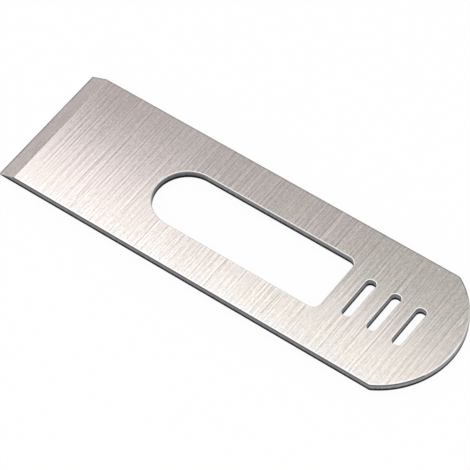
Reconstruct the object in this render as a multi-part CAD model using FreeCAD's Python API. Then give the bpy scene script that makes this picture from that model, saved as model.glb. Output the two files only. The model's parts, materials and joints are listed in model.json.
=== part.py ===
import FreeCAD, Part
import math
import os

# Plane iron: the single, bevel-up cutting iron of a small block plane.
# It is blanked from ground steel strip, so the whole iron is one solid. X runs from the cutting
# edge to the arc end, Y across the iron, Z up through its thickness. The origin is the middle of
# the cutting edge, on the flat back. All sizes are in millimetres, angles in degrees.

# The blank. The crown is the arc at the top end, and its rise is measured from the shoulders,
# where the straight sides stop.
iron_length = 114.0
iron_width = 35.0
iron_thickness = 2.2
crown_rise = 10.3
shoulder_radius = 0.8

# The bevel is ground across the front end, on the upper face.
bevel_angle = 25.0

# The long slot that passes the lever cap screw, with its round end towards the cutting edge.
cap_slot_length = 49.6
cap_slot_width = 15.9
cap_slot_corner_radius = 2.0

# The cross slots that the adjusting lever's tongue drops into.
cross_slot_count = 3
cross_slot_pitch = 6.7
cross_slot_width = 2.5
cross_slot_length = 11.2
cross_slot_corner_radius = 1.1

# The metal that is left between the crown's tip and the last cross slot, and between the first
# cross slot and the lever cap slot. Both are measured from the top end, because sharpening
# shortens the iron from the other one.
crown_web = 10.65
slot_web = 4.85

# A blanked wall has three bands. The die rolls the upper edge over, then burnishes a straight
# land, and below the land the steel tears off and leans away under it. Stoning the back leaves
# a small chamfer along its edges.
edge_roll = 0.22
tear_height = 0.7
tear_lean = 0.02
back_chamfer = 0.04

# The blank reaches past the cutting edge until its bevel is ground.
grinding_stock = 6.0

# A roll or a chamfer takes at most this share of the thickness, and a corner's radius is at most
# this share of the width it rounds.
edge_share = 0.2
corner_share = 0.49

# Places along the iron that follow from the sizes above.
shoulder_x = iron_length - crown_rise
last_cross_slot_x = iron_length - crown_web - cross_slot_width / 2
first_cross_slot_x = last_cross_slot_x - cross_slot_pitch * (cross_slot_count - 1)
cap_slot_end_x = first_cross_slot_x - cross_slot_width / 2 - slot_web
cap_slot_start_x = cap_slot_end_x - cap_slot_length

up = FreeCAD.Vector(0, 0, 1)
nearly = 1e-6


def point(x, y, z=0.0):
    return FreeCAD.Vector(x, y, z)


def line(start, end):
    return Part.LineSegment(start, end).toShape()


def arc(start, middle, end):
    return Part.Arc(start, middle, end).toShape()


def is_upright(edge):
    box = edge.BoundBox
    return box.ZLength > nearly and box.XLength + box.YLength < nearly


def rounded_outline(edges, radius, chosen):
    """The closed outline, with the corners whose place along the iron is chosen rounded."""
    sheet = Part.Face(Part.Wire(edges)).extrude(up)
    corners = [edge for edge in sheet.Edges if is_upright(edge) and chosen(edge.Vertexes[0].X)]
    sheet = sheet.makeFillet(radius, corners)
    base = min(sheet.Faces, key=lambda face: face.CenterOfMass.z)
    return base.OuterWire


def sheared_solid(outline, lean, bottom, top):
    """A solid whose wall follows the outline above the torn band and leans below its top.
    The lean is the outline's growth at the back face, so a negative one draws the wall in."""
    growth = lean * (tear_height - bottom) / tear_height
    foot = outline.makeOffset2D(growth, join=2)
    foot.translate(up * bottom)
    land = outline.copy()
    land.translate(up * tear_height)
    torn = Part.makeLoft([foot, land], True, True)
    burnished = Part.Face(land).extrude(up * (top - tear_height))
    return burnished.fuse(torn)


def blank():
    """The strip with its crowned end and eased shoulders, longer than the iron at the front."""
    half = iron_width / 2
    raw_x = -grinding_stock
    edges = [
        line(point(raw_x, -half), point(shoulder_x, -half)),
        arc(point(shoulder_x, -half), point(iron_length, 0), point(shoulder_x, half)),
        line(point(shoulder_x, half), point(raw_x, half)),
        line(point(raw_x, half), point(raw_x, -half)),
    ]
    outline = rounded_outline(edges, shoulder_radius, lambda x: x > 0)
    return sheared_solid(outline, -tear_lean, 0, iron_thickness)


def punched(outline):
    """What a punch takes out: it runs clear of both faces, and its hole flares to the back."""
    return sheared_solid(outline, tear_lean, -iron_thickness, 2 * iron_thickness)


def cap_slot():
    """The long slot: a half round end, straight sides and a square end with rounded corners."""
    half = cap_slot_width / 2
    round_x = cap_slot_start_x + half
    edges = [
        arc(point(round_x, half), point(cap_slot_start_x, 0), point(round_x, -half)),
        line(point(round_x, -half), point(cap_slot_end_x, -half)),
        line(point(cap_slot_end_x, -half), point(cap_slot_end_x, half)),
        line(point(cap_slot_end_x, half), point(round_x, half)),
    ]
    radius = min(cap_slot_corner_radius, corner_share * cap_slot_width)
    return punched(rounded_outline(edges, radius, lambda x: x > cap_slot_end_x - nearly))


def cross_slot(centre_x):
    """One cross slot, centred on the iron's width, with four rounded corners."""
    front = centre_x - cross_slot_width / 2
    back = centre_x + cross_slot_width / 2
    half = cross_slot_length / 2
    corners = [point(front, -half), point(back, -half), point(back, half), point(front, half)]
    edges = [line(corners[n - 1], corners[n]) for n in range(len(corners))]
    radius = min(cross_slot_corner_radius, corner_share * cross_slot_width)
    return punched(rounded_outline(edges, radius, lambda x: True))


def grinding_wedge():
    """What the grinding wheel takes off: all that lies in front of the bevel's plane."""
    slope = math.tan(math.radians(bevel_angle))
    below = -iron_thickness
    above = 2 * iron_thickness
    front_x = below / slope - grinding_stock
    side = -iron_width
    corners = [
        point(front_x, side, below),
        point(below / slope, side, below),
        point(above / slope, side, above),
        point(front_x, side, above),
        point(front_x, side, below),
    ]
    face = Part.Face(Part.makePolygon(corners))
    return face.extrude(point(0, 2 * iron_width))


def edges_at_height(solid, height):
    """The outline's and the slots' edges in one flat face, without the raw front end."""
    found = []
    for edge in solid.Edges:
        box = edge.BoundBox
        level = abs(box.ZMin - height) < nearly and abs(box.ZMax - height) < nearly
        if level and box.XMax > 0:
            found.append(edge)
    return found


def plane_iron():
    """The blank with its slots punched, its edges rolled and eased, and its bevel ground."""
    punches = [cap_slot()]
    for number in range(cross_slot_count):
        punches.append(cross_slot(first_cross_slot_x + number * cross_slot_pitch))
    iron = blank().cut(punches)
    roll = min(edge_roll, edge_share * iron_thickness)
    chamfer = min(back_chamfer, edge_share * iron_thickness)
    iron = iron.makeFillet(roll, edges_at_height(iron, iron_thickness))
    iron = iron.makeChamfer(chamfer, edges_at_height(iron, 0))
    return iron.cut(grinding_wedge())


def single_solid(shape):
    """The shape's one solid, checked before it is written."""
    solids = shape.Solids
    if len(solids) != 1 or not solids[0].isValid():
        raise RuntimeError("the iron is not one valid solid")
    return solids[0]


os.makedirs("parts", exist_ok=True)
iron = single_solid(plane_iron())
iron.exportStep("parts/plane_iron.step")
box = iron.optimalBoundingBox(False)
print("plane_iron", round(box.XLength, 3), round(box.YLength, 3), round(box.ZLength, 3))
print("volume in cubic millimetres", round(iron.Volume, 2), "faces", len(iron.Faces))
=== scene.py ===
# %% [markdown]
# # Dressing a plane iron
#
# A plane iron is the blade of a hand plane. This one is the single iron of a small block plane:
# a strip of hard steel, blanked in a press, hardened, ground bright on both faces, and ground
# once more to a bevel. It is one piece of metal, so nearly all of its look is in its edges and
# in the lines that the grinding wheel left.
#
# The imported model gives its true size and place. This lesson builds a finer skin over that
# solid, gives each surface the finish of the tool that made it, and lights it as a small
# object is lit on a white table.

# %% Load the frame
import json
import math

import bmesh
import bpy
from mathutils import Matrix, Vector


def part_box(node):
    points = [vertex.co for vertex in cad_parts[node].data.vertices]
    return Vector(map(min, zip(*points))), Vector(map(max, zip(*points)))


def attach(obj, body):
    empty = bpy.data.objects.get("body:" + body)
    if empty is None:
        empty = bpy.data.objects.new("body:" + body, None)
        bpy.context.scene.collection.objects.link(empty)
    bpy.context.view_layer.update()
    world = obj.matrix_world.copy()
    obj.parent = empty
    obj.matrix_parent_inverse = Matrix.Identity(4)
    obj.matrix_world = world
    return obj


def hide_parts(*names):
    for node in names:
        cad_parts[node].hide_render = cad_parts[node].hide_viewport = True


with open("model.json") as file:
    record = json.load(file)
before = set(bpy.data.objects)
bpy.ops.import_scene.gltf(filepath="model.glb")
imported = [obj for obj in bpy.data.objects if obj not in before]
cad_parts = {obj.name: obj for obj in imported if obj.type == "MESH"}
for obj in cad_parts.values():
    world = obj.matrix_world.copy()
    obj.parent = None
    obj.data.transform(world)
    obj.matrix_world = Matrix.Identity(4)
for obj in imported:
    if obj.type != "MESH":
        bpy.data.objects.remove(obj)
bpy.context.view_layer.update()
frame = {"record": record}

scene = bpy.context.scene
MM = 0.001
UP = Vector((0, 0, 1))

# %% [markdown]
# ## Sizes
#
# The blade's length, width and thickness are read from the solid, and the slots from the
# interfaces that the record states. Only what neither of them says is written here: the arc of
# the top end, the corners, and the small shapes that the press and the stone leave on an edge.

# %% Read the iron's sizes
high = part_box("plane_iron")[1]
tip_x = high.x
half_width = high.y
thickness = high.z
mounts = {mount["name"]: mount for mount in frame["record"]["mounts"]}
cap = mounts["cap_slot"]
cross = mounts["cross_slots"]

cap_slot_half = cap["dims"]["r_mm"] * MM
cap_slot_start_x = cap["pos_m"][0] - cap["dims"]["slot_length_mm"] * MM / 2
cap_slot_end_x = cap["pos_m"][0] + cap["dims"]["slot_length_mm"] * MM / 2
cap_slot_corner = 2.0 * MM

cross_slot_half_x = cross["dims"]["hole_r_mm"] * MM
cross_slot_half_y = cross["dims"]["slot_length_mm"] * MM / 2
cross_slot_corner = 1.1 * MM
cross_slot_pitch = cross["dims"]["spacing_x_mm"] * MM
cross_slot_count = cross["dims"]["count"]
cross_slot_middle_x = cross["pos_m"][0]

crown_rise = 10.3 * MM
shoulder_radius = 0.8 * MM
bevel_angle = math.radians(25)
edge_roll = 0.22 * MM
tear_height = 0.7 * MM
tear_lean = 0.02 * MM
back_chamfer = 0.04 * MM
grinding_stock = 6.0 * MM

shoulder_x = tip_x - crown_rise
crown_radius = (crown_rise ** 2 + half_width ** 2) / (2 * crown_rise)
crown_middle_x = tip_x - crown_radius
print("iron", [round(v / MM, 2) for v in (tip_x, 2 * half_width, thickness)], "mm")
print("cap slot from", round(cap_slot_start_x / MM, 2), "to", round(cap_slot_end_x / MM, 2), "mm")

# %% [markdown]
# ## The camera
#
# The picture is taken from above the top end, a little to the near side, with a long lens, so
# the sides of the iron stay almost parallel. The camera is placed by the point that it looks
# at, its azimuth, its elevation and its distance, and then rolled about its own axis.

# %% Place the camera
camera_aim = Vector((54.9, -0.5, -0.04)) * MM
camera_azimuth = math.radians(39.8)
camera_elevation = math.radians(53.67)
camera_roll = math.radians(-4.1)
camera_distance = 682 * MM
sensor_width = 36
picture_size = 470
focal_pixels = 3028


def direction(azimuth, elevation):
    """The unit vector from the object to something that stands at these angles round it."""
    flat = Vector((math.sin(azimuth), -math.cos(azimuth), 0)) * math.cos(elevation)
    return flat + UP * math.sin(elevation)


camera_data = bpy.data.cameras.new("camera")
camera_data.sensor_width = sensor_width
camera_data.lens = focal_pixels / picture_size * sensor_width
camera_data.clip_start = 1 * MM
camera = bpy.data.objects.new("camera", camera_data)
scene.collection.objects.link(camera)
toward_camera = direction(camera_azimuth, camera_elevation)
aimed = toward_camera.to_track_quat("Z", "Y").to_matrix()
rolled = aimed @ Matrix.Rotation(camera_roll, 3, "Z")
camera.matrix_world = Matrix.Translation(camera_aim + toward_camera * camera_distance) @ rolled.to_4x4()
scene.camera = camera
print("camera at", [round(v / MM, 1) for v in camera.location], "mm, lens", round(camera_data.lens, 1))

# %% [markdown]
# ## The outlines
#
# The press cuts one outline round the iron and one round each slot. Each is drawn flat first,
# as a face: a few corner points, a spin where it is a true arc, and a vertex bevel where a
# corner is rounded. A face can be beveled at its corners, and its border is the outline.

# %% Draw flat outlines
ARC_STEPS = 96
CORNER_STEPS = 10
EVEN_PROFILE = 0.5


def closed_face(bm, verts):
    """Joins the points, in order, into one flat face."""
    for start, end in zip(verts, verts[1:] + verts[:1]):
        if not any(end in edge.verts for edge in start.link_edges):
            bm.edges.new((start, end))
    return bm.faces.new(verts)


def spun_arc(bm, start, centre, angle, steps):
    """The points of an arc, made by spinning its first point about the centre."""
    bmesh.ops.spin(bm, geom=[start], cent=centre, axis=UP, angle=angle, steps=steps, use_merge=False)
    arc = [start]
    while len(arc) <= steps:
        arc.append(next(edge.other_vert(arc[-1]) for edge in arc[-1].link_edges
                        if edge.other_vert(arc[-1]) not in arc))
    return arc


def round_corner(bm, vert, radius):
    """Rounds one corner of a flat face to that radius."""
    ways = [(edge.other_vert(vert).co - vert.co).normalized() for edge in vert.link_edges]
    turn = math.pi - ways[0].angle(ways[1])
    bmesh.ops.bevel(bm, geom=[vert], offset=radius * math.tan(turn / 2), offset_type="OFFSET",
                    segments=CORNER_STEPS, profile=EVEN_PROFILE, affect="VERTICES", material=-1)


def draw_blank(bm):
    """The iron's own outline: straight sides and a crown, with eased shoulders."""
    centre = Vector((crown_middle_x, 0, 0))
    half_turn = math.asin(half_width / crown_radius)
    near = bm.verts.new((shoulder_x, -half_width, 0))
    crown = spun_arc(bm, near, centre, 2 * half_turn, ARC_STEPS)
    far_raw = bm.verts.new((-grinding_stock, half_width, 0))
    near_raw = bm.verts.new((-grinding_stock, -half_width, 0))
    closed_face(bm, crown + [far_raw, near_raw])
    for shoulder in (crown[0], crown[-1]):
        round_corner(bm, shoulder, shoulder_radius)


def draw_cap_slot(bm):
    """The long slot: half round towards the cutting edge, square with rounded corners behind."""
    round_x = cap_slot_start_x + cap_slot_half
    first = bm.verts.new((round_x, cap_slot_half, 0))
    end = spun_arc(bm, first, Vector((round_x, 0, 0)), math.pi, ARC_STEPS // 2)
    near = bm.verts.new((cap_slot_end_x, -cap_slot_half, 0))
    far = bm.verts.new((cap_slot_end_x, cap_slot_half, 0))
    closed_face(bm, end + [near, far])
    for corner in (near, far):
        round_corner(bm, corner, cap_slot_corner)


def draw_cross_slot(bm, x):
    """One short slot across the iron, for the adjusting lever."""
    place = Matrix.Translation((x, 0, 0))
    size = Matrix.Diagonal((cross_slot_half_x, cross_slot_half_y, 1, 1))
    made = bmesh.ops.create_grid(bm, x_segments=1, y_segments=1, size=1, matrix=place @ size)
    for corner in made["verts"]:
        round_corner(bm, corner, cross_slot_corner)


bm = bmesh.new()
draw_blank(bm)
draw_cap_slot(bm)
for number in range(cross_slot_count):
    steps_from_middle = number - (cross_slot_count - 1) / 2
    draw_cross_slot(bm, cross_slot_middle_x + steps_from_middle * cross_slot_pitch)
print("outlines:", len(bm.faces), "with", len(bm.edges), "edges")

# %% [markdown]
# ## From outline to blank
#
# The faces are taken away and only their borders kept, so one fill spans the iron and leaves
# the slots open. Extruding that fill gives the blank its thickness. A blanked wall isn't one
# plain surface: under the straight land, where the die cut, the steel tore off and leans away.
# So the wall gets one more ring of points at the height of the tear, and the ring at the back
# is drawn in by a fiftieth of a millimetre.

# %% Make the blank
NEARLY = 1e-6
CUT_SLACK = 1e-7
WALL_SLOPE = 0.5

bmesh.ops.delete(bm, geom=bm.faces[:], context="FACES_ONLY")
bmesh.ops.triangle_fill(bm, edges=bm.edges[:], use_beauty=True, use_dissolve=False, normal=UP)
raised = bmesh.ops.extrude_face_region(bm, geom=bm.faces[:])
raised_verts = [item for item in raised["geom"] if isinstance(item, bmesh.types.BMVert)]
bmesh.ops.translate(bm, verts=raised_verts, vec=UP * thickness)
bmesh.ops.recalc_face_normals(bm, faces=bm.faces[:])

everything = bm.verts[:] + bm.edges[:] + bm.faces[:]
bmesh.ops.bisect_plane(bm, geom=everything, dist=CUT_SLACK, plane_co=UP * tear_height,
                       plane_no=UP)


def at_height(vert, height):
    """Whether a point stands at that height over the back."""
    return abs(vert.co.z - height) < NEARLY


def is_wall(face):
    """Whether a face stands upright, or nearly so."""
    return abs(face.normal.z) < WALL_SLOPE


def lean_foot(vert):
    """Draws a point of the back's border in under the wall."""
    out = Vector((0, 0, 0))
    for face in vert.link_faces:
        if is_wall(face):
            out += face.normal
    if out.length > 0:
        vert.co -= out.normalized() * tear_lean


bm.normal_update()
feet = [vert for vert in bm.verts if at_height(vert, 0)]
for foot in feet:
    lean_foot(foot)
print("blank:", len(bm.faces), "faces,", len(feet), "points on the back")

# %% [markdown]
# ## Rolled and broken edges
#
# No pressed edge is sharp. The die pulls the upper edge over into a small roll, and that roll
# is what catches the light as a bright thread round the iron and its slots. The back's edges
# only had a stone drawn along them. Both are edge bevels, one round and one flat. After the
# roll, a narrow inset keeps the flat face's shading flat right up to its border.

# %% Roll the upper edges and break the lower ones
ROLL_STEPS = 6
SUPPORT = 0.05 * MM


def border_edges(height):
    """The edges where the face at that height meets the walls."""
    found = []
    for edge in bm.edges:
        level = all(at_height(vert, height) for vert in edge.verts)
        walls = [face for face in edge.link_faces if is_wall(face)]
        if level and len(walls) == 1:
            found.append(edge)
    return found


bmesh.ops.bevel(bm, geom=border_edges(thickness), offset=edge_roll, offset_type="OFFSET",
                segments=ROLL_STEPS, profile=EVEN_PROFILE, affect="EDGES", material=-1)
bmesh.ops.bevel(bm, geom=border_edges(0), offset=back_chamfer, offset_type="OFFSET",
                segments=1, profile=EVEN_PROFILE, affect="EDGES", material=-1)
flat_faces = [face for face in bm.faces if all(at_height(vert, thickness) for vert in face.verts)]
bmesh.ops.inset_region(bm, faces=flat_faces, thickness=SUPPORT, depth=0, use_boundary=True,
                       use_even_offset=True)
print("with its edges worked:", len(bm.faces), "faces")

# %% [markdown]
# ## Room for the bevel
#
# The flats were filled with triangles, and some of them have long edges that fan out from the
# raw end. Where the bevel's plane cuts the blank, each of those would leave a point of its own
# on the cutting edge, with slivers between. So they are dissolved first, which leaves each flat
# as one face there.

# %% Clear the way for the cut
bevel_normal = Vector((-math.sin(bevel_angle), 0, math.cos(bevel_angle)))
FLAT = math.radians(0.1)
SLANT = 1 * MM


def in_the_way(edge):
    """Whether an edge lies inside a flat, slants across it and passes through the bevel's plane."""
    start, end = (vert.co for vert in edge.verts)
    slants = abs(start.y - end.y) > SLANT
    passes = start.dot(bevel_normal) * end.dot(bevel_normal) < 0
    return slants and passes and edge.calc_face_angle(math.pi) < FLAT


fan = [edge for edge in bm.edges if in_the_way(edge)]
bmesh.ops.dissolve_edges(bm, edges=fan, use_verts=False)
print("dissolved", len(fan), "edges of the fill")

# %% [markdown]
# ## The bevel
#
# The grinder takes the front of the blank off at 25 degrees. In the mesh that is one cut by a
# plane through the cutting edge, with what lies in front of it cleared away and the cut filled.

# %% Grind the bevel
everything = bm.verts[:] + bm.edges[:] + bm.faces[:]
cut = bmesh.ops.bisect_plane(bm, geom=everything, dist=CUT_SLACK, plane_co=(0, 0, 0),
                             plane_no=bevel_normal, clear_outer=True)
cut_edges = [item for item in cut["geom_cut"] if isinstance(item, bmesh.types.BMEdge)]
bmesh.ops.holes_fill(bm, edges=cut_edges, sides=0)
bmesh.ops.recalc_face_normals(bm, faces=bm.faces[:])
open_edges = [edge for edge in bm.edges if len(edge.link_faces) != 2]
print("ground:", len(bm.faces), "faces,", len(open_edges), "open edges")

# %% [markdown]
# ## Which tool made which surface
#
# Each face of the mesh gets the finish of what last touched it: the surface grinder on the two
# flats, the bevel grinder in front, the die and the hardening fire on the walls. Edges between
# finishes are marked sharp, and round forms stay smooth.

# %% Sort the faces by finish
FACE, BEVEL, WALL, BACK, RIM = range(5)
SAME_WAY = 0.9999
RIM_SLOPE = 0.9
SMOOTH_LIMIT = math.radians(24)


def finish_of(face):
    """The number of the finish that a face of the iron wears."""
    if face.normal.dot(bevel_normal) > SAME_WAY:
        return BEVEL
    if face.normal.z > SAME_WAY:
        return FACE
    if face.normal.z < -SAME_WAY:
        return BACK
    if face.normal.z > RIM_SLOPE:
        return RIM
    return WALL


bm.normal_update()
for face in bm.faces:
    face.material_index = finish_of(face)
    face.smooth = True
for edge in bm.edges:
    tear_line = all(at_height(vert, tear_height) for vert in edge.verts)
    edge.smooth = edge.calc_face_angle(0) < SMOOTH_LIMIT and not tear_line

skin = bpy.data.meshes.new("plane_iron_skin")
bm.to_mesh(skin)
bm.free()
iron = bpy.data.objects.new("plane_iron_skin", skin)
scene.collection.objects.link(iron)
print("skin:", len(skin.polygons), "faces, size",
      [round(v / MM, 3) for v in iron.dimensions])

# %% [markdown]
# ## Shader sums in plain Python
#
# A ground surface is many small sums: a line here is a bit darker, a bit rougher, a bit lower.
# Wiring them by hand hides the sum, so one small class wraps a socket and lets Python's own
# operators add the Math nodes. Every other node comes from one method.

# %% A small class for shader sums
class Signal:
    """A shader node's output, which can be added, multiplied and so on."""

    def __init__(self, finish, socket):
        self.finish = finish
        self.socket = socket

    def maths(self, operation, *values):
        return self.finish.node("ShaderNodeMath", {"operation": operation}, dict(enumerate(values)))

    def __add__(self, other):
        return self.maths("ADD", self, other)

    __radd__ = __add__

    def __sub__(self, other):
        return self.maths("SUBTRACT", self, other)

    def __rsub__(self, other):
        return self.maths("SUBTRACT", other, self)

    def __mul__(self, other):
        return self.maths("MULTIPLY", self, other)

    def __truediv__(self, other):
        return self.maths("DIVIDE", self, other)

    def __abs__(self):
        return self.maths("ABSOLUTE", self)

    def floor(self):
        return self.maths("FLOOR", self)

    def most(self, other):
        return self.maths("MAXIMUM", self, other)

    def above(self, start, end):
        """0 below start, 1 above end, and a soft step between."""
        settings = {"interpolation_type": "SMOOTHSTEP"}
        places = {"Value": self, "From Min": start, "From Max": end}
        return self.finish.node("ShaderNodeMapRange", settings, places)

    def below(self, start, end):
        """1 below start, 0 above end, and a soft step between."""
        return 1 - self.above(start, end)


# %% A class for one finish
# The colour sockets of a Mix node: the factor, the two colours and the result.
MIX_FACTOR, MIX_FIRST, MIX_SECOND, MIX_RESULT = 0, 6, 7, 2


class Finish:
    """One material, with its Principled shader and the iron's own coordinates in millimetres."""

    def __init__(self, name):
        self.material = bpy.data.materials.new(name)
        self.material.use_nodes = True
        self.tree = self.material.node_tree
        self.tree.nodes.clear()
        self.shader = self.tree.nodes.new("ShaderNodeBsdfPrincipled")
        self.output = self.tree.nodes.new("ShaderNodeOutputMaterial")
        self.tree.links.new(self.shader.outputs[0], self.output.inputs["Surface"])
        place = self.node("ShaderNodeTexCoord", {}, {}, "Object")
        self.x, self.y, self.z = (
            self.node("ShaderNodeSeparateXYZ", {}, {0: place}, axis) / MM for axis in "XYZ"
        )

    def node(self, kind, settings, inputs, output=0):
        """Makes a node, sets it up, fills its sockets with values or links, and gives an output."""
        made = self.tree.nodes.new(kind)
        for name, value in settings.items():
            setattr(made, name, value)
        for name, value in inputs.items():
            if isinstance(value, Signal):
                self.tree.links.new(value.socket, made.inputs[name])
            else:
                made.inputs[name].default_value = value
        return Signal(self, made.outputs[output])

    def vector(self, x, y, z=0.0):
        return self.node("ShaderNodeCombineXYZ", {}, {0: x, 1: y, 2: z})

    def noise(self, x, y, z=0.0, detail=0.0, roughness=0.5):
        """Soft noise about zero, mostly between -0.3 and 0.3, with one cell for each unit."""
        inputs = {"Vector": self.vector(x, y, z), "Scale": 1.0, "Detail": detail,
                  "Roughness": roughness}
        return self.node("ShaderNodeTexNoise", {}, inputs, "Fac") - 0.5

    def chance(self, number):
        """A fixed random number, from 0 to 1, for each whole number."""
        return self.node("ShaderNodeTexWhiteNoise", {"noise_dimensions": "1D"}, {"W": number}, "Value")

    def mix(self, amount, first, second, blend="MIX"):
        """A colour between two colours, or one blended onto the other."""
        settings = {"data_type": "RGBA", "blend_type": blend}
        inputs = {MIX_FACTOR: amount, MIX_FIRST: first, MIX_SECOND: second}
        return self.node("ShaderNodeMix", settings, inputs, MIX_RESULT)

    def bump(self, height, depth):
        """A normal from a height, where a height of 1 stands that many metres proud."""
        inputs = {"Height": height, "Distance": depth, "Strength": 1.0}
        return self.node("ShaderNodeBump", {}, inputs, "Normal")

    def wear(self, **sockets):
        """Sets the shader's sockets, whose names have an underscore for each space."""
        for name, value in sockets.items():
            socket = self.shader.inputs[name.replace("_", " ")]
            if isinstance(value, Signal):
                self.tree.links.new(value.socket, socket)
            else:
                socket.default_value = value
        return self.material


# %% [markdown]
# ## The grinder's grooves
#
# The wheel passes across the iron and leaves grooves along Y. Plain noise stretched along Y
# looks like wood, because its streaks bend and swell. A groove doesn't: it is straight, it
# keeps its width, and it only fades in and out. So the iron is divided into strips one groove
# wide. Each strip gets its own random number, which picks how its depth changes along it, and
# a sine across the strip gives the groove a lit flank and a shaded one. Where the wheel rode
# deeper it left a broader line, light or dark in its middle, so a ridge uses two cosines
# instead. A few such sets with different spacings, laid over each other, hide the spacing of
# each.

# %% Grooves and hairlines
GROOVE_LEAN = 0.009
WANDER = 0.9
WANDER_LENGTH = 3.1
SEED_STEP = 100.5


def strips(finish, spacing, seed):
    """The place across the strips, one strip for each whole number."""
    straight = finish.x - finish.y * GROOVE_LEAN
    wander = finish.noise(straight / (WANDER_LENGTH * spacing), seed * 1.7 + 0.5)
    return straight / spacing + wander * WANDER + seed * SEED_STEP


def depth_along(finish, strip, length, seed):
    """How deep each strip's groove is along its length, about zero."""
    own = finish.chance(strip)
    along = finish.y / length + own * 60
    return finish.noise(own * 800, along, seed + 0.5, detail=3.0, roughness=0.62)


def grooves(finish, spacing, length, seed):
    """Grooves this far apart and about this long, each with a lit and a shaded flank."""
    across = strips(finish, spacing, seed)
    depth = depth_along(finish, across.floor(), length, seed)
    return depth * across.maths("SINE", across * math.tau)


def ridges(finish, spacing, length, seed):
    """Lines this far apart and about this long, each light or dark between two fainter ones."""
    across = strips(finish, spacing, seed)
    depth = depth_along(finish, across.floor(), length, seed)
    middle = across.maths("COSINE", across * math.tau)
    beside = across.maths("COSINE", across * (2 * math.tau))
    return depth * (middle - beside) * 0.6


def hairlines(finish, spacing, length, share, seed):
    """Single thin scratches, in this share of the strips: 1 on a scratch and 0 off it."""
    across = strips(finish, spacing, seed)
    strip = across.floor()
    own = finish.chance(strip)
    there = own.above(1 - share, 1 - share * 0.9)
    along = finish.noise(own * 900, finish.y / length + own * 70, seed + 0.5).above(0.02, 0.16)
    thin = abs(across - strip - 0.5).below(0.1, 0.45)
    return there * along * thin


# %% [markdown]
# ## Handling marks
#
# A few marks can be told apart from the grinder's lines: scratches from the box it came in and
# three specks of dust. Each is a thin line or a dot, measured as a distance from its middle.
# Places and widths are in millimetres. A mark's shine is what it adds to the face's tone, and a
# dark mark takes away.

# %% Scratches and specks
SCRATCHES = (
    {"start": (18.8, 16.5), "end": (19.3, -14.2), "width": 0.26, "shine": 0.3},
    {"start": (19.35, 16.5), "end": (19.85, -14.2), "width": 0.34, "shine": -0.18},
    {"start": (72.76, 17.2), "end": (73.05, 8.3), "width": 0.28, "shine": 0.46},
    {"start": (73.7, -8.1), "end": (73.2, -16.7), "width": 0.3, "shine": -0.36},
    {"start": (110.95, 8.9), "end": (110.9, 5.9), "width": 0.32, "shine": 0.7},
)
SCRATCH_FADE = 1.5
DUST = (
    {"x": 81.6, "y": 7.7, "radius": 0.25},
    {"x": 78.7, "y": 8.6, "radius": 0.22},
    {"x": 98.9, "y": 16.4, "radius": 0.22},
)
DUST_SHINE = 1.2


def scratch(finish, start, end, width):
    """1 on a straight scratch from start to end, which run from far to near, and 0 off it."""
    slope = (end[0] - start[0]) / (end[1] - start[1])
    middle_x = start[0] + (finish.y - start[1]) * slope
    beside = abs(finish.x - middle_x).below(width * 0.3, width * 0.7)
    this_side_of_start = finish.y.below(start[1] - SCRATCH_FADE, start[1])
    before_end = finish.y.above(end[1], end[1] + SCRATCH_FADE)
    return beside * this_side_of_start * before_end


def reach(finish, x, y):
    """The distance from that place, seen from above."""
    away = finish.vector(finish.x - x, finish.y - y)
    return finish.node("ShaderNodeVectorMath", {"operation": "LENGTH"}, {0: away}, "Value")


def speck(finish, x, y, radius):
    """1 on a dot, and 0 off it."""
    return reach(finish, x, y).below(radius * 0.6, radius)


def handling_marks(finish):
    """What the scratches and the dust add to the face's tone."""
    shine = 0
    for mark in SCRATCHES:
        shine = shine + scratch(finish, mark["start"], mark["end"], mark["width"]) * mark["shine"]
    for dot in DUST:
        shine = shine + speck(finish, dot["x"], dot["y"], dot["radius"]) * DUST_SHINE
    return shine


# %% [markdown]
# ## Painted highlight and shade along the edges
#
# Along the near side, the crown and the long slot, the last half millimetre of the face gets a
# painted highlight. Along the far side it gets a thin line of painted shade instead. Both are
# bands at a set distance inside the outline.

# %% Where the edges get painted shade and painted highlight
def crown_edge(finish, inward, softness):
    """1 this near to the crown's edge, in millimetres, and 0 elsewhere."""
    start = crown_radius / MM - inward
    near = reach(finish, crown_middle_x / MM, 0).above(start, start + softness)
    return near * finish.x.above(shoulder_x / MM - 2, shoulder_x / MM)


def far_edge(finish, inward):
    """1 this near to the edge on the far side and at the crown's far end, where shade is painted."""
    side = finish.y.above(half_width / MM - inward, half_width / MM - inward + 0.2)
    crown = crown_edge(finish, inward, 0.2) * finish.y.above(10, 16)
    return side.most(crown)


def painted_edge_highlight(finish):
    """1 on the last half millimetre before the near side, the crown and the long slot, for a painted
    highlight.
    """
    side = finish.y.below(0.3 - half_width / MM, 0.6 - half_width / MM)
    crown = crown_edge(finish, 0.6, 0.3) * finish.y.below(2, 8)
    beside_slot = finish.x.above(36, 42) * finish.x.below(80, 82) * finish.y.below(-8, -7.9)
    slot = beside_slot * finish.y.above(-8.6, -8.2)
    return side.most(crown) + slot


# %% [markdown]
# ## Ground steel
#
# The two faces wear the same finish: bare steel with the grooves above. The lines change the
# colour a little, and the deeper ones are real grooves too, so they also drive the bump. The
# long lines are strongest along the middle, and short ones take over towards the sides. The
# tint drifts from a cool rose at the cutting edge to a little straw at the crown, and the
# front half is a shade paler. Between the lines lies a fine grain, where the wheel's grit
# plucked the steel. It is coarsest along the near side, and near the front corner there the
# lines are faint.

# %% Finish of the ground faces
STEEL_ROSE = (0.657, 0.577, 0.563, 1)
STEEL_STRAW = (0.640, 0.588, 0.552, 1)
STEEL_PALE = (0.634, 0.596, 0.582, 1)
LINE_DARK = (0.6, 0.6, 0.6, 1)
LINE_LIGHT = (1.4, 1.4, 1.4, 1)
FACE_ROUGHNESS = 0.25
FACE_GROOVE_DEPTH = 0.006 * MM


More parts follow.
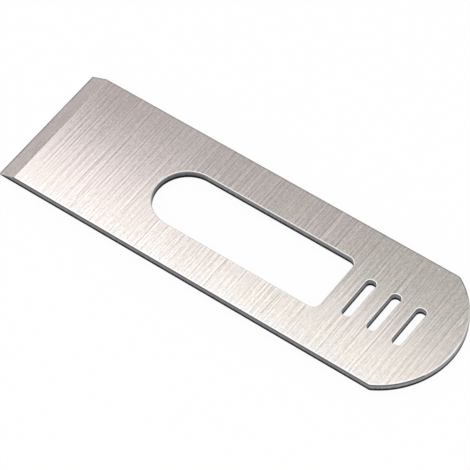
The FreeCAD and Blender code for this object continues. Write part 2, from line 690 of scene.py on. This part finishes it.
def steel_tint(finish):
    """Bare steel's colour, which drifts along the iron and pales along its near side."""
    drift = finish.x / 110 + finish.noise(finish.x / 13, finish.y / 16, 3.5) * 1.2
    drift = drift + 0.1 - abs(finish.y + 3).below(4, 10) * 0.35
    tinted = finish.mix(drift, STEEL_ROSE, STEEL_STRAW)
    return finish.mix(finish.y.below(-17.5, -13), tinted, STEEL_PALE)


def make_ground_steel(name, is_face):
    """The surface grinder's finish, with the handling marks where it is the face."""
    finish = Finish(name)
    middle = abs(finish.y).below(6, 14)
    far = finish.y.above(6, 14)
    near = finish.y.below(-13, -6)
    wide = ridges(finish, spacing=1.8, length=90, seed=1)
    close = ridges(finish, spacing=1.35, length=90, seed=2)
    fine = grooves(finish, spacing=0.9, length=60, seed=3)
    long_lines = (wide * 0.35 + close * 1.1 + fine * 2.0) * (0.55 + middle * 0.49)
    broken = grooves(finish, spacing=0.9, length=7, seed=4)
    broken = broken + grooves(finish, spacing=0.6, length=5, seed=5)
    finest = grooves(finish, spacing=0.36, length=12, seed=6)
    short_lines = (broken * 0.75 + finest * 1.25) * (1.05 - middle * 0.25 - far * 0.3)
    hairs = hairlines(finish, spacing=0.24, length=20, share=0.12, seed=7)
    grain = finish.noise(finish.x / 0.27, finish.y / 0.6, 8.5, detail=1.0)
    lines = long_lines + short_lines + grain * (0.52 + near * 0.33 - far * 0.08)
    calm = finish.x.below(10, 24) * near * 0.4
    clouds = finish.noise(finish.x / 8, finish.y / 22, 9.5)
    tone = 0.5 + lines * (1 - calm) + hairs * 0.05 + clouds * 0.12
    paler = 0.01 + finish.y.above(-15, 4) * 0.14 - far * 0.07
    tone = tone + finish.x.below(25, 60) * paler
    # A painted highlight along the near edges, and a painted shade line along the far edges.
    tone = tone + painted_edge_highlight(finish) * (0.14 + grain * 0.4) - far_edge(finish, 0.55) * 0.22
    if is_face:
        behind_bevel = finish.x.below(4.9, 5.9)
        tone = tone + behind_bevel * 0.08 + handling_marks(finish)
    shade = finish.mix(tone, LINE_DARK, LINE_LIGHT)
    height = close + fine + broken * 0.5 + finest * 0.6 - hairs * 0.3
    return finish.wear(
        Base_Color=finish.mix(1.0, steel_tint(finish), shade, "MULTIPLY"),
        Metallic=1.0,
        Roughness=FACE_ROUGHNESS + grain * 0.15 + hairs * 0.16,
        Normal=finish.bump(height, FACE_GROOVE_DEPTH),
    )


# %% [markdown]
# ## The bevel
#
# The bevel comes off a finer wheel, so it is even and a little duller, with hardly a line. Its
# last quarter of a millimetre is darker. At its far end it has the same painted shade line as
# the face.

# %% Finish of the bevel
BEVEL_TINT = (0.645, 0.566, 0.549, 1)
CUTTING_EDGE_DARK = (0.42, 0.42, 0.44, 1)
PLAIN = (1, 1, 1, 1)
BEVEL_ROUGHNESS = 0.33
BEVEL_GROOVE_DEPTH = 0.003 * MM


def make_bevel_steel(name):
    """The bevel grinder's finish."""
    finish = Finish(name)
    fine = grooves(finish, spacing=0.68, length=30, seed=14)
    finest = grooves(finish, spacing=0.36, length=20, seed=15)
    grain = finish.noise(finish.x / 0.24, finish.y / 0.6, 17.5, detail=1.0)
    clouds = finish.noise(finish.x / 2.5, finish.y / 3.5, 18.5, detail=1.0)
    tone = 0.5 + fine * 0.7 + finest * 0.9 + grain * 0.6 + clouds * 0.2
    # A painted shade line along the far edge.
    tone = tone - far_edge(finish, 0.45) * 0.4
    # Darker along the last quarter millimetre of the cutting edge.
    darker_edge = (finish.x + clouds * 0.2).below(0.24, 0.44)
    tint = finish.mix(darker_edge, PLAIN, CUTTING_EDGE_DARK)
    lined = finish.mix(1.0, BEVEL_TINT, finish.mix(tone, LINE_DARK, LINE_LIGHT), "MULTIPLY")
    return finish.wear(
        Base_Color=finish.mix(1.0, lined, tint, "MULTIPLY"),
        Metallic=1.0,
        Roughness=BEVEL_ROUGHNESS + grain * 0.15,
        Normal=finish.bump(fine + finest, BEVEL_GROOVE_DEPTH),
    )


# %% [markdown]
# ## The sheared walls
#
# The iron is blanked first, hardened next and ground last, and the grinder never reaches the
# walls. So they keep the blue-grey scale of the hardening fire, over what the press left: a
# burnished land with fine upright streaks, and below it the torn band, rough and nearly black.
# The land's dark tone is partly that scale and partly painted shade, for the dark that the walls
# mirror, and the torn band's near black is partly a painted contact shadow. Painted shade
# darkens a line under the roll and the slot's round end, painted light lifts the walls round the
# crown, and a painted highlight lies along the top of the roll.

# %% Finish of the walls
# The land's colour is partly the hardening scale and partly painted shade, for the dark that the walls
# mirror.
LAND_SCALE_AND_SHADE = (0.215, 0.212, 0.228, 1)
# Painted shade, for a line under the roll and for the long slot's round end.
PAINTED_SHADE_DARK = (0.13, 0.128, 0.135, 1)
# Painted light, for the walls round the crown.
CROWN_PAINTED_LIGHT = (0.3, 0.295, 0.31, 1)
# The torn band, partly the tear's own dark and partly a painted contact shadow.
TEAR_AND_PAINTED_SHADOW = (0.014, 0.014, 0.015, 1)
# The torn band round the crown, lifted by painted light.
TEAR_LIT_AT_CROWN = (0.03, 0.03, 0.033, 1)
# Near white, a painted highlight on the rolled rim.
RIM_PAINTED_HIGHLIGHT = (1.0, 0.97, 0.95, 1)
STREAK_DARK = (0.72, 0.72, 0.72, 1)
STREAK_LIGHT = (1.28, 1.28, 1.28, 1)
WALL_ROUGHNESS = 0.46
WALL_STREAK_DEPTH = 0.015 * MM


def between_slot_sides(finish):
    """1 no wider than the long slot: on the walls of every slot and at the crown's middle."""
    return abs(finish.y).below(8.4, 8.8)


def make_sheared_steel(name):
    """What the press and the fire left on the walls, with painted shade, painted light and a painted
    highlight.
    """
    finish = Finish(name)
    streaks = finish.noise(finish.x / 0.3, finish.y / 0.3, finish.z / 2.8, detail=2.0, roughness=0.6)
    grain = finish.noise(finish.x / 0.14, finish.y / 0.14, finish.z / 0.14, detail=2.0, roughness=0.6)
    ragged = finish.z + streaks * 0.3 + grain * 0.15
    # The torn band, which also carries a painted contact shadow.
    torn_and_shadowed = ragged.below(0.7, 1.05)
    # Painted shade in a line under the roll.
    collar_shade = ragged.above(1.55, 1.8)
    toward_crown = finish.x.above(98, 108)
    # Painted light on the walls round the crown.
    crown_lit = finish.mix(toward_crown, LAND_SCALE_AND_SHADE, CROWN_PAINTED_LIGHT)
    # Painted shade in the long slot's round end.
    round_end_shade = finish.x.below(39, 42) * abs(finish.y).below(8.1, 8.5)
    shaded = finish.mix(round_end_shade * 0.95, crown_lit, PAINTED_SHADE_DARK)
    land = finish.mix(collar_shade, shaded, PAINTED_SHADE_DARK)
    tear_and_shadow = finish.mix(toward_crown, TEAR_AND_PAINTED_SHADOW, TEAR_LIT_AT_CROWN)
    scale = finish.mix(torn_and_shadowed, land, tear_and_shadow)
    streaked = finish.mix(0.5 + streaks * 1.4, STREAK_DARK, STREAK_LIGHT)
    # The wall colour with its painted shade and painted light, streaked.
    painted_shading = finish.mix(1.0, scale, streaked, "MULTIPLY")
    middle = between_slot_sides(finish)
    on_crown = finish.x.above(102, 105) * finish.y.below(0, 8)
    # A painted highlight along the top of the roll, stronger where the walls are no wider than the long
    # slot and on the crown.
    roll_top = finish.z.above(2.05 - middle * 0.35, 2.17)
    roll_highlight = roll_top * (0.22 + middle * 0.12 + on_crown * 0.22)
    return finish.wear(
        Base_Color=finish.mix(roll_highlight, painted_shading, RIM_PAINTED_HIGHLIGHT),
        Metallic=1.0,
        Roughness=WALL_ROUGHNESS + torn_and_shadowed * 0.24 + grain * 0.2 - roll_highlight * 0.2,
        Normal=finish.bump(streaks + grain * torn_and_shadowed * 2, WALL_STREAK_DEPTH),
    )


# %% [markdown]
# ## The rolled rim
#
# The upper part of the roll, where it runs into the face, gets a near-white colour, a painted
# highlight, a little weaker inside the long slot. Along the far side it gets painted shade.

# %% Finish of the rim
# Painted shade, for the rim along the far side.
RIM_PAINTED_SHADE = (0.14, 0.13, 0.13, 1)
RIM_ROUGHNESS = 0.24


def make_rim_steel(name):
    """The top of the roll, with a painted highlight and painted shade."""
    finish = Finish(name)
    nicks = finish.noise(finish.x / 0.5, finish.y / 0.5, finish.z / 0.5, detail=2.0, roughness=0.6)
    # Painted shade along the far side, and a weaker painted highlight in the long slot.
    painted_shading = far_edge(finish, 0.5)
    in_long_slot = finish.x.below(84, 86) * between_slot_sides(finish)
    return finish.wear(
        Base_Color=finish.mix(painted_shading + nicks * 0.2 + in_long_slot * 0.14, RIM_PAINTED_HIGHLIGHT, RIM_PAINTED_SHADE),
        Metallic=1.0,
        Roughness=RIM_ROUGHNESS + nicks * 0.1 + painted_shading * 0.4,
    )


# %% [markdown]
# ## Dressing the skin
#
# A mesh keeps its materials in a list, and each face holds a number in that list. The finishes
# go in by the order of those numbers. Then the skin rides on the iron, takes the place of the
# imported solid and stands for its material.

# %% Dress the iron
face_steel = make_ground_steel("ground_steel_face", is_face=True)
back_steel = make_ground_steel("ground_steel_back", is_face=False)
bevel_steel = make_bevel_steel("ground_steel_bevel")
wall_steel = make_sheared_steel("sheared_steel_wall")
rim_steel = make_rim_steel("rolled_steel_rim")
for material in (face_steel, bevel_steel, wall_steel, back_steel, rim_steel):
    skin.materials.append(material)
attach(iron, "root")
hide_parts("plane_iron")
print("finishes:", ", ".join(material.name for material in skin.materials))

# %% [markdown]
# ## The table
#
# The iron lies on white paper. The paper is seen as white by the camera and by anything shiny,
# mostly through its own glow, and the rest of it is a real white surface, so that the iron
# still drops a faint shadow and darkens the paper where it touches.

# %% Lay the paper
PAPER_GLOW = 0.93
PAPER_WHITE = (0.9, 0.9, 0.9, 1)
PAPER_SIZE = 6.0
PAPER_DROP = 0.01 * MM


def flat_card(name, size_x, size_y, matrix):
    """A flat rectangle of that size, placed by the matrix."""
    bm = bmesh.new()
    shape = Matrix.Diagonal((size_x / 2, size_y / 2, 1, 1))
    bmesh.ops.create_grid(bm, x_segments=1, y_segments=1, size=1, matrix=shape)
    mesh = bpy.data.meshes.new(name)
    bm.to_mesh(mesh)
    bm.free()
    card = bpy.data.objects.new(name, mesh)
    card.matrix_world = matrix
    scene.collection.objects.link(card)
    return card


class Glow(Finish):
    """A material for the studio, which gives off light of its own."""

    def __init__(self, name):
        super().__init__(name)
        self.tree.nodes.remove(self.shader)

    def shine(self, colour):
        """Only a glow of that colour."""
        light = self.node("ShaderNodeEmission", {}, {"Color": colour})
        self.tree.links.new(light.socket, self.output.inputs["Surface"])
        return self.material

    def partly_shine(self, colour, share):
        """A matt surface of that colour, of which a share is a white glow instead."""
        surface = self.node("ShaderNodeBsdfDiffuse", {}, {"Color": colour})
        light = self.node("ShaderNodeEmission", {}, {})
        mixed = self.node("ShaderNodeMixShader", {}, {0: share, 1: surface, 2: light})
        self.tree.links.new(mixed.socket, self.output.inputs["Surface"])
        return self.material

    def seen(self):
        """1 for what the camera sees, straight or in a mirror or a glass, else 0."""
        camera_ray = self.node("ShaderNodeLightPath", {}, {}, "Is Camera Ray")
        glossy_ray = self.node("ShaderNodeLightPath", {}, {}, "Is Glossy Ray")
        clear_ray = self.node("ShaderNodeLightPath", {}, {}, "Is Transmission Ray")
        return camera_ray.most(glossy_ray.most(clear_ray))


paper = flat_card("paper", PAPER_SIZE, PAPER_SIZE, Matrix.Translation(-UP * PAPER_DROP))
paper_glow = Glow("white_paper")
paper.data.materials.append(paper_glow.partly_shine(PAPER_WHITE, paper_glow.seen() * PAPER_GLOW))
print("paper", PAPER_SIZE, "m wide,", PAPER_DROP / MM, "mm under the back")

# %% [markdown]
# ## The room
#
# Bare metal has no look of its own: it shows what stands round it. A plain white room gives the
# level of the light.

# %% Light the room
ROOM_LIGHT = 1.0

world = bpy.data.worlds.new("room")
world.use_nodes = True
scene.world = world
room = world.node_tree.nodes["Background"]
room.inputs["Color"].default_value = (1, 1, 1, 1)
room.inputs["Strength"].default_value = ROOM_LIGHT
print("room light", ROOM_LIGHT)

# %% [markdown]
# ## The graded card
#
# What makes the face read as steel is that it runs from grey along the far side to nearly white
# along the near one. So a card that is graded in the same way hangs where the face mirrors it,
# and only reflections see it. Its long front end is there for the bevel, which mirrors a lower
# place than the face does.

# %% Hang the graded card
CARD_DISTANCE = 100 * MM
CARD_LONG = 300 * MM
CARD_WIDE = 120 * MM
CARD_SHIFT = -40 * MM
CARD_DIM = (0.615, 0.615, 0.615, 1)
CARD_BRIGHT = (1.66, 1.71, 1.70, 1)
CARD_MIDDLE = 4.0
CARD_SOFTNESS = 9.0
CARD_CROWN = (1.47, 1.51, 1.49, 1)
CARD_FRONT = 30.0
CARD_END = 95.0
face_middle = Vector((57 * MM, 0, thickness))
mirrored = Vector((-toward_camera.x, -toward_camera.y, toward_camera.z))


def facing(away, long_side):
    """A turn that points local Z along away and keeps local X as near as it can to the long side."""
    across = (long_side - away * long_side.dot(away)).normalized()
    return Matrix((across, away.cross(across), away)).transposed().to_4x4()


card_turn = facing(-mirrored, Vector((1, 0, 0)))
card_middle = face_middle + mirrored * CARD_DISTANCE
card_place = Matrix.Translation(card_middle) @ card_turn @ Matrix.Translation((CARD_SHIFT, 0, 0))
card = flat_card("graded_card", CARD_LONG, CARD_WIDE, card_place)
card.visible_camera = False
card.visible_diffuse = False
card.visible_shadow = False
card_glow = Glow("graded_card")
bright_side = card_glow.y.above(CARD_MIDDLE - CARD_SOFTNESS, CARD_MIDDLE + CARD_SOFTNESS)
far_end = card_glow.x.above(CARD_FRONT, CARD_END) * bright_side
graded = card_glow.mix(bright_side, CARD_DIM, CARD_BRIGHT)
card.data.materials.append(card_glow.shine(card_glow.mix(far_end, graded, CARD_CROWN)))
print("card at", [round(v / MM) for v in card_middle], "mm")

# %% [markdown]
# ## The softboxes
#
# Two faint softboxes lift the rolled edges that face the camera. They stay faint, because a lamp
# that the flat face mirrors would turn it white from behind.

# %% Hang the softboxes
def softbox(name, azimuth, elevation, distance, long, wide, watts):
    """A rectangular lamp that looks at the iron, with its long side level."""
    lamp = bpy.data.lights.new(name, "AREA")
    lamp.shape = "RECTANGLE"
    lamp.size = long
    lamp.size_y = wide
    lamp.energy = watts
    holder = bpy.data.objects.new(name, lamp)
    scene.collection.objects.link(holder)
    away = direction(math.radians(azimuth), math.radians(elevation))
    level = Vector((math.cos(math.radians(azimuth)), math.sin(math.radians(azimuth)), 0))
    holder.matrix_world = Matrix.Translation(face_middle + away * distance) @ facing(away, level)
    holder.visible_camera = False
    print(name, "of", watts, "W at", [round(v / MM) for v in holder.matrix_world.translation], "mm")


softbox("near_softbox", azimuth=-25, elevation=36, distance=0.5, long=0.5, wide=0.3, watts=0.12)
softbox("crown_softbox", azimuth=68, elevation=24, distance=0.45, long=0.36, wide=0.16, watts=0.04)

# %% [markdown]
# ## The end
#
# The picture keeps the colours as they are worked out, with no film look laid over them.

# %% Finish
scene.view_settings.view_transform = "Standard"
